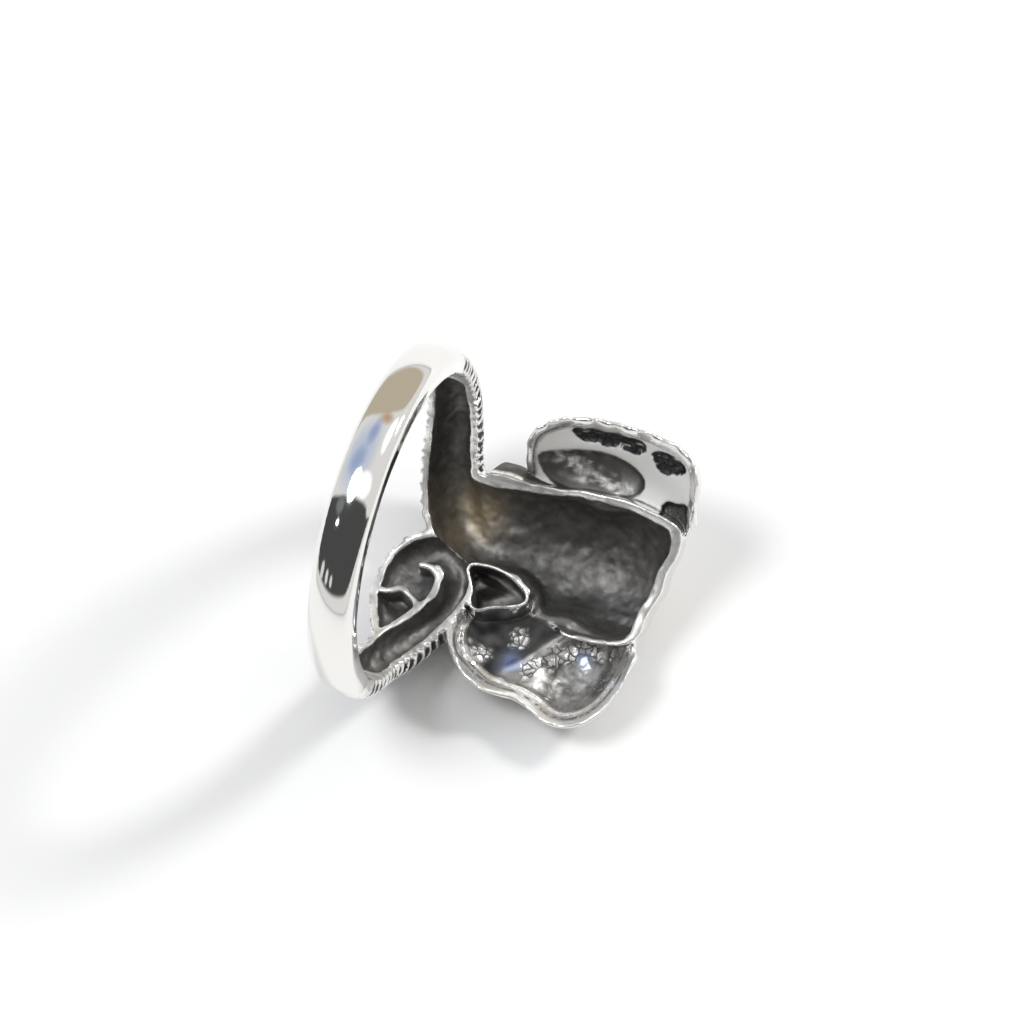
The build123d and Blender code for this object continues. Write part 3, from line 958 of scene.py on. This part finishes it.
def lower_coat(ear, y, back, rough):
    """The lower ear's back: dark up to its ridge, with bright crumpled spots, paler beyond, with bright
    facets along the ridge, and a painted blue reflection in two places, which is less dark there too."""
    past = beyond_ridge(ear.q, y)
    lobe = smoothstep(past, -0.2, 0.5)
    ridge = band(past, 0.4) * fade(ear.q, 6.8, 7.6) * (1 + rough["mid"])
    spots = spotted(ear.q, y, *LOWER_BRIGHT) + spotted(past, ear.q, LOWER_FACETS)
    # Painted blue reflection on two spots of the lower ear's back; these spots are also left less dark
    tint = spotted(ear.q, y, *LOWER_PAINTED_BLUE) * back * (1 + 0.6 * rough["mid"])
    speckle = 0.6 * rough["mid"] + 0.4 * rough["fine"]
    bright = smoothstep(spots + 0.7 * speckle * (0.15 + lobe + spots), 0.28, 0.7)
    inset = smoothstep(-ear.edge, 0.5, 0.62)
    dark = (1.5 - 0.75 * lobe - 0.9 * ridge + 0.4 * rough["mid"]) * (1 - bright) * (1 - 0.5 * tint)
    crumple = back * (bright + 0.1 * lobe) * inset
    return Coat(np.clip(dark, 0, 1.7) * inset, back * (0.15 + 0.4 * bright), crumple, tint, 0.35)


def finish(mesh, places, field, low):
    """Attributes of the finish: tarnish from 0, polished, over 1, dark, to 1.8, black; warmth of the
    tarnish; how satin the silver is; how crumpled; and how much painted blue reflection it gets."""
    solid = np.clip(0.5 - field / VOXEL, 0, 1)
    buried = looked_up(blurred(solid, FOLD_REACH), (places - low) / VOXEL) - 0.5
    _, parts = ring_field(places)
    rough, rho, y = parts["rough"], parts["rho"], places[:, 1]
    cast = 1 - parts["shank"]

    # Hollows, folds, wrinkles, rims and cheeks
    inside = fade(parts["hollow"], 0.03, 0.16) * smoothstep(rho, BORE + 0.1, BORE + 0.32)
    tarnish = np.maximum(inside * HOLLOW_TARNISH, smoothstep(buried, 0.03, 0.14) * cast * FOLD_TARNISH)
    uneven = parts["groove"] + (0.5 * rough["slow"] + 0.2 * rough["mid"]) * (parts["groove"] > 0.02)
    wrinkles = smoothstep(uneven, 0.40, 0.75) * smoothstep(rho, BORE + 0.25, BORE + 0.6)
    tarnish = np.maximum(tarnish, wrinkles * WRINKLE_TARNISH)
    rim = (1 - smoothstep(rho, RIM_BORE + 0.02, RIM_BORE + 0.12)) * cast
    tarnish = np.maximum(tarnish, rim * np.clip(0.22 + 0.55 * rough["mid"] + 0.3 * rough["fine"], 0, 0.7))
    cheek = fade(parts["cheek"], 0.02, 0.12) * smoothstep(parts["u"], 2.6, 3.2) * fade(y, 6.0, 7.0)
    cheek = cheek * smoothstep(rho, BORE + 0.4, BORE + 0.8)
    tarnish = np.maximum(tarnish, cheek * (1.2 + 0.3 * rough["mid"]))
    satin = np.maximum(rim * 0.45, 0.35 * smoothstep(parts["groove"], 0.02, 0.2)) * cast

    # Ears
    crumple = tint = 0.0
    for hand, coating in ((1, upper_coat), (-1, lower_coat)):
        ear = parts["ears"][hand]
        on_ear = fade(ear.distance, 0.02, 0.12) * smoothstep(ear.q, 3.3, 4.0)
        on_ear = on_ear * smoothstep(parts["hollow"], 0.04, 0.14)
        line = band(ear.edge + RIM_LINE_INSET, RIM_LINE_REACH) * on_ear * (ear.off < 0.1)
        line = line * (fade(y, 6.0, 7.0) if hand == 1 else smoothstep(ear.q, 3.9, 4.7))
        within = smoothstep(-ear.edge, 0.15, 0.35)
        back = on_ear * (ear.off < 0) * within
        coat = coating(ear, y, back, rough)
        tarnish = np.maximum(tarnish, RIM_LINE_DARK * line) * (1 - back) + back * coat.tarnish
        satin = np.maximum(satin, coat.satin)
        satin = np.maximum(satin, on_ear * (1 - within) * coat.bead_satin)
        crumple = np.maximum(crumple, coat.crumple)
        tint = np.maximum(tint, coat.tint)

    warmth = spotted(parts["theta"], y, WARM_PLACE) * inside * (1 + 0.6 * rough["mid"])
    write(mesh, "tarnish", np.clip(tarnish, 0, 1.8))
    write(mesh, "warmth", warmth)
    write(mesh, "satin", np.clip(satin, 0, 1))
    write(mesh, "crumple", np.clip(crumple, 0, 1))
    write(mesh, "tint", np.clip(tint, 0, 1))


def write(mesh, name, values):
    attribute = mesh.attributes.new(name, "FLOAT", "POINT")
    attribute.data.foreach_set("value", np.asarray(values, np.float32))


def link(tree, a, b):
    tree.links.new(a, b)


def node(tree, kind, **settings):
    made = tree.nodes.new(kind)
    for name, value in settings.items():
        setattr(made, name, value)
    return made


def attribute(tree, name):
    return node(tree, "ShaderNodeAttribute", attribute_name=name).outputs["Fac"]


def mapped(tree, value, from_low, from_high, to_low, to_high, clamp=True):
    made = node(tree, "ShaderNodeMapRange", clamp=clamp)
    limits = {"From Min": from_low, "From Max": from_high, "To Min": to_low, "To Max": to_high}
    for key, number in limits.items():
        made.inputs[key].default_value = number
    link(tree, value, made.inputs["Value"])
    return made.outputs["Result"]


def mixed(tree, share, a, b):
    made = node(tree, "ShaderNodeMix", data_type="RGBA")
    for socket, value in ((made.inputs[0], share), (made.inputs[6], a), (made.inputs[7], b)):
        if isinstance(value, tuple):
            socket.default_value = value
        else:
            link(tree, value, socket)
    return made.outputs[2]


def combined(tree, operation, a, b):
    made = node(tree, "ShaderNodeMath", operation=operation)
    for socket, value in zip(made.inputs, (a, b)):
        link(tree, value, socket)
    return made.outputs[0]


def bumped(tree, height, strength, distance, normal=None):
    made = node(tree, "ShaderNodeBump")
    made.inputs["Distance"].default_value = distance
    link(tree, strength, made.inputs["Strength"])
    link(tree, height, made.inputs["Height"])
    if normal is not None:
        link(tree, normal, made.inputs["Normal"])
    return made.outputs["Normal"]


def swirled(tree, place, noise_colour):
    """Places moved about by a noise, so that cells there look torn and not ruled."""
    swirl = node(tree, "ShaderNodeVectorMath", operation="SCALE")
    link(tree, noise_colour, swirl.inputs[0])
    swirl.inputs["Scale"].default_value = FACET_SWIRL
    moved = node(tree, "ShaderNodeVectorMath", operation="ADD")
    link(tree, place, moved.inputs[0])
    link(tree, swirl.outputs["Vector"], moved.inputs[1])
    return moved.outputs["Vector"]


def silver_material():
    """Polished silver, blackened where its finish says so."""
    material = bpy.data.materials.new("oxidised_silver")
    material.use_nodes = True
    tree = material.node_tree
    shader = tree.nodes["Principled BSDF"]
    place = node(tree, "ShaderNodeTexCoord").outputs["Object"]
    mottle = node(tree, "ShaderNodeTexNoise", noise_dimensions="3D")
    mottle.inputs["Scale"].default_value = MOTTLE_SCALE
    mottle.inputs["Detail"].default_value = MOTTLE_DETAIL
    link(tree, place, mottle.inputs["Vector"])
    facets = node(tree, "ShaderNodeTexVoronoi", feature="F1")
    creases = node(tree, "ShaderNodeTexVoronoi", feature="DISTANCE_TO_EDGE")
    facet_place = swirled(tree, place, mottle.outputs["Color"])
    for texture in (facets, creases):
        texture.inputs["Scale"].default_value = FACET_SCALE
        link(tree, facet_place, texture.inputs["Vector"])

    # How dark each place is: its tarnish, mottled where there is some, and the creases
    tarnish = attribute(tree, "tarnish")
    crumple = attribute(tree, "crumple")
    grain = mapped(tree, mottle.outputs["Fac"], 0.3, 0.7, -0.09, 0.09)
    crease = mapped(tree, creases.outputs["Distance"], 0.02, 0.14, 1.1, 0.0)
    uneven = combined(tree, "MULTIPLY", grain, mapped(tree, tarnish, 0.05, 0.5, 0.0, 1.0))
    share = combined(tree, "ADD", tarnish, uneven)
    share = combined(tree, "ADD", share, combined(tree, "MULTIPLY", crease, crumple))
    deepest = mapped(tree, share, 1.0, 1.7, 0.0, 1.0)
    share = mapped(tree, share, 0.0, 1.0, 0.0, 1.0)

    black = mixed(tree, attribute(tree, "warmth"), HOLLOW_BLACK, WARM_BROWN)
    black = mixed(tree, deepest, black, DEEPEST_BLACK)
    colour = mixed(tree, share, SILVER, black)
    # Painted blue reflection, mixed into the colour on the lower ear's back
    colour = mixed(tree, attribute(tree, "tint"), colour, PAINTED_BLUE_REFLECTION)
    link(tree, colour, shader.inputs["Base Color"])

    satin = attribute(tree, "satin")
    tarnish_dulls = mapped(tree, share, 0.0, 1.0, 0.06, 0.60)
    satin_dulls = mapped(tree, satin, 0.0, 1.0, 0.0, 0.35)
    link(tree, combined(tree, "ADD", tarnish_dulls, satin_dulls), shader.inputs["Roughness"])
    link(tree, mapped(tree, satin, 0.0, 1.0, 1.0, 0.0), shader.inputs["Metallic"])

    tarnish_grains = mapped(tree, tarnish, 0.1, 0.7, 0.0, 0.6)
    satin_grains = mapped(tree, satin, 0.0, 0.5, 0.0, 0.5)
    worn = combined(tree, "ADD", tarnish_grains, satin_grains)
    grained = bumped(tree, mottle.outputs["Fac"], worn, GRAIN_DEPTH)
    dented = bumped(tree, facets.outputs["Distance"], crumple, FACET_DEPTH, grained)
    link(tree, dented, shader.inputs["Normal"])
    return material


def ring_vector(values):
    """A direction of the ring's frame in the frame in which it lies."""
    return REST @ Vector(values)


def floor():
    """A plain white table under the ring."""
    mesh = bpy.data.meshes.new("table_top")
    r = TABLE_REACH
    mesh.from_pydata([(-r, -r, 0), (r, -r, 0), (r, r, 0), (-r, r, 0)], [], [(0, 1, 2, 3)])
    plane = bpy.data.objects.new("table_top", mesh)
    plane.location.z = cad_box[0][2]
    bpy.context.scene.collection.objects.link(plane)
    material = bpy.data.materials.new("table_white")
    material.use_nodes = True
    shader = material.node_tree.nodes["Principled BSDF"]
    shader.inputs["Base Color"].default_value = TABLE_WHITE
    shader.inputs["Roughness"].default_value = TABLE_ROUGHNESS
    shader.inputs["Specular IOR Level"].default_value = 0.0
    mesh.materials.append(material)


def camera():
    """The photograph's angle and framing."""
    right, down, back = (ring_vector(v) for v in (IMAGE_RIGHT, IMAGE_DOWN, TO_CAMERA))
    middle = IMAGE_SIZE / 2
    aside = (middle - ORIGIN_PIXEL[0]) / PIXELS_PER_MM
    below = (middle - ORIGIN_PIXEL[1]) / PIXELS_PER_MM
    data = bpy.data.cameras.new("photo_camera")
    data.sensor_width = SENSOR
    data.lens = SENSOR * CAMERA_DISTANCE * PIXELS_PER_MM / IMAGE_SIZE
    data.clip_start, data.clip_end = CLIP
    made = bpy.data.objects.new("photo_camera", data)
    made.location = (right * aside + down * below + back * CAMERA_DISTANCE) * MM
    made.rotation_mode = "QUATERNION"
    made.rotation_quaternion = Matrix((right, -down, back)).transposed().to_quaternion()
    bpy.context.scene.collection.objects.link(made)
    bpy.context.scene.camera = made
    return right, -back


def light(lamp, towards):
    """A soft round lamp over the table, in the given direction across it."""
    flat = Vector((towards.x, towards.y, 0)).normalized()
    elevation = math.radians(lamp.elevation)
    data = bpy.data.lights.new(lamp.name, "AREA")
    data.shape = "DISK"
    data.size = lamp.size
    data.energy = lamp.power
    made = bpy.data.objects.new(lamp.name, data)
    made.location = (flat * math.cos(elevation) + Vector((0, 0, 1)) * math.sin(elevation)) * LAMP_DISTANCE
    made.rotation_mode = "QUATERNION"
    made.rotation_quaternion = made.location.to_track_quat("Z", "Y")
    bpy.context.scene.collection.objects.link(made)


# What the room shows to a mirror: each patch's turn round the finger from straight above, in degrees,
# and its place along the finger as a share of a direction; its reach both ways, softness and colour
Patch = namedtuple("Patch", "turn along turn_reach along_reach soft colour")
ROOM_PATCHES = (
    Patch(87, -0.28, 23, 0.62, 0.12, (0.82, 0.73, 0.57)),
    Patch(61, -0.12, 4, 0.20, 0.9, (0.85, 0.58, 0.38)),
    Patch(34, -0.42, 24, 0.42, 0.8, (0.84, 0.96, 1.20)),
    Patch(30, -0.46, 10, 0.20, 0.9, (0.54, 0.68, 1.00)),
    Patch(50, -0.30, 8, 0.14, 0.9, (0.55, 0.66, 1.00)),
    Patch(52, 0.24, 14, 0.13, 0.2, (1.9, 1.9, 1.9)),
    Patch(15, 0.05, 9, 0.30, 0.3, (1.9, 1.9, 1.9)),
    Patch(-26, -0.15, 32, 1.50, 0.10, (0.11, 0.11, 0.112)),
    Patch(-2, -0.55, 6, 0.12, 0.6, (0.30, 0.32, 0.34)),
    Patch(-13, -0.49, 2.2, 0.05, 0.1, (8.0, 8.0, 8.0)),
    *(Patch(-50, -0.60 + 0.17 * i, 7 - 1.5 * i, 0.045, 0.3, (1.2, 1.2, 1.2)) for i in range(3)),
    Patch(-150, 0.75, 40, 0.30, 0.5, (0.15, 0.15, 0.16)),
)


def world():
    """A room that the silver mirrors: pale all round, with darker and tinted stretches."""
    made = bpy.data.worlds.new("room")
    bpy.context.scene.world = made
    made.use_nodes = True
    tree = made.node_tree
    background = tree.nodes["Background"]
    direction = node(tree, "ShaderNodeTexCoord").outputs["Generated"]
    share = {}
    for name, axis in (("side", (1, 0, 0)), ("along", (0, 1, 0)), ("up", (0, 0, -1))):
        dot = node(tree, "ShaderNodeVectorMath", operation="DOT_PRODUCT")
        dot.inputs[1].default_value = ring_vector(axis)
        link(tree, direction, dot.inputs[0])
        share[name] = dot.outputs["Value"]
    turn = combined(tree, "ARCTAN2", share["side"], share["up"])
    colour = ROOM_WHITE
    for patch in ROOM_PATCHES:
        low, high = (math.radians(patch.turn + k * patch.turn_reach) for k in (-1, 1))
        off_turn = mapped(tree, turn, low, high, -1.0, 1.0, False)
        low, high = (patch.along + k * patch.along_reach for k in (-1, 1))
        off_along = mapped(tree, share["along"], low, high, -1.0, 1.0, False)
        squares = [combined(tree, "MULTIPLY", off, off) for off in (off_turn, off_along)]
        away = combined(tree, "ADD", *squares)
        inside = mapped(tree, away, 1 - patch.soft, 1 + patch.soft, 1.0, 0.0)
        colour = mixed(tree, inside, colour, (*patch.colour, 1.0))
    link(tree, colour, background.inputs["Color"])
    background.inputs["Strength"].default_value = ROOM_STRENGTH


ring = ring_mesh()
ring.data.materials.clear()
ring.data.materials.append(silver_material())
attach(ring, "root")
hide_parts("elephant_ring")

floor()
image_right, image_away = camera()
across = Vector((image_right.x, image_right.y, 0)).normalized()
beyond = Vector((image_away.x, image_away.y, 0)).normalized()
light(KEY, across * KEY_RIGHT + beyond * KEY_AWAY)
light(FILL, -across)
world()
bpy.context.scene.view_settings.view_transform = "Standard"
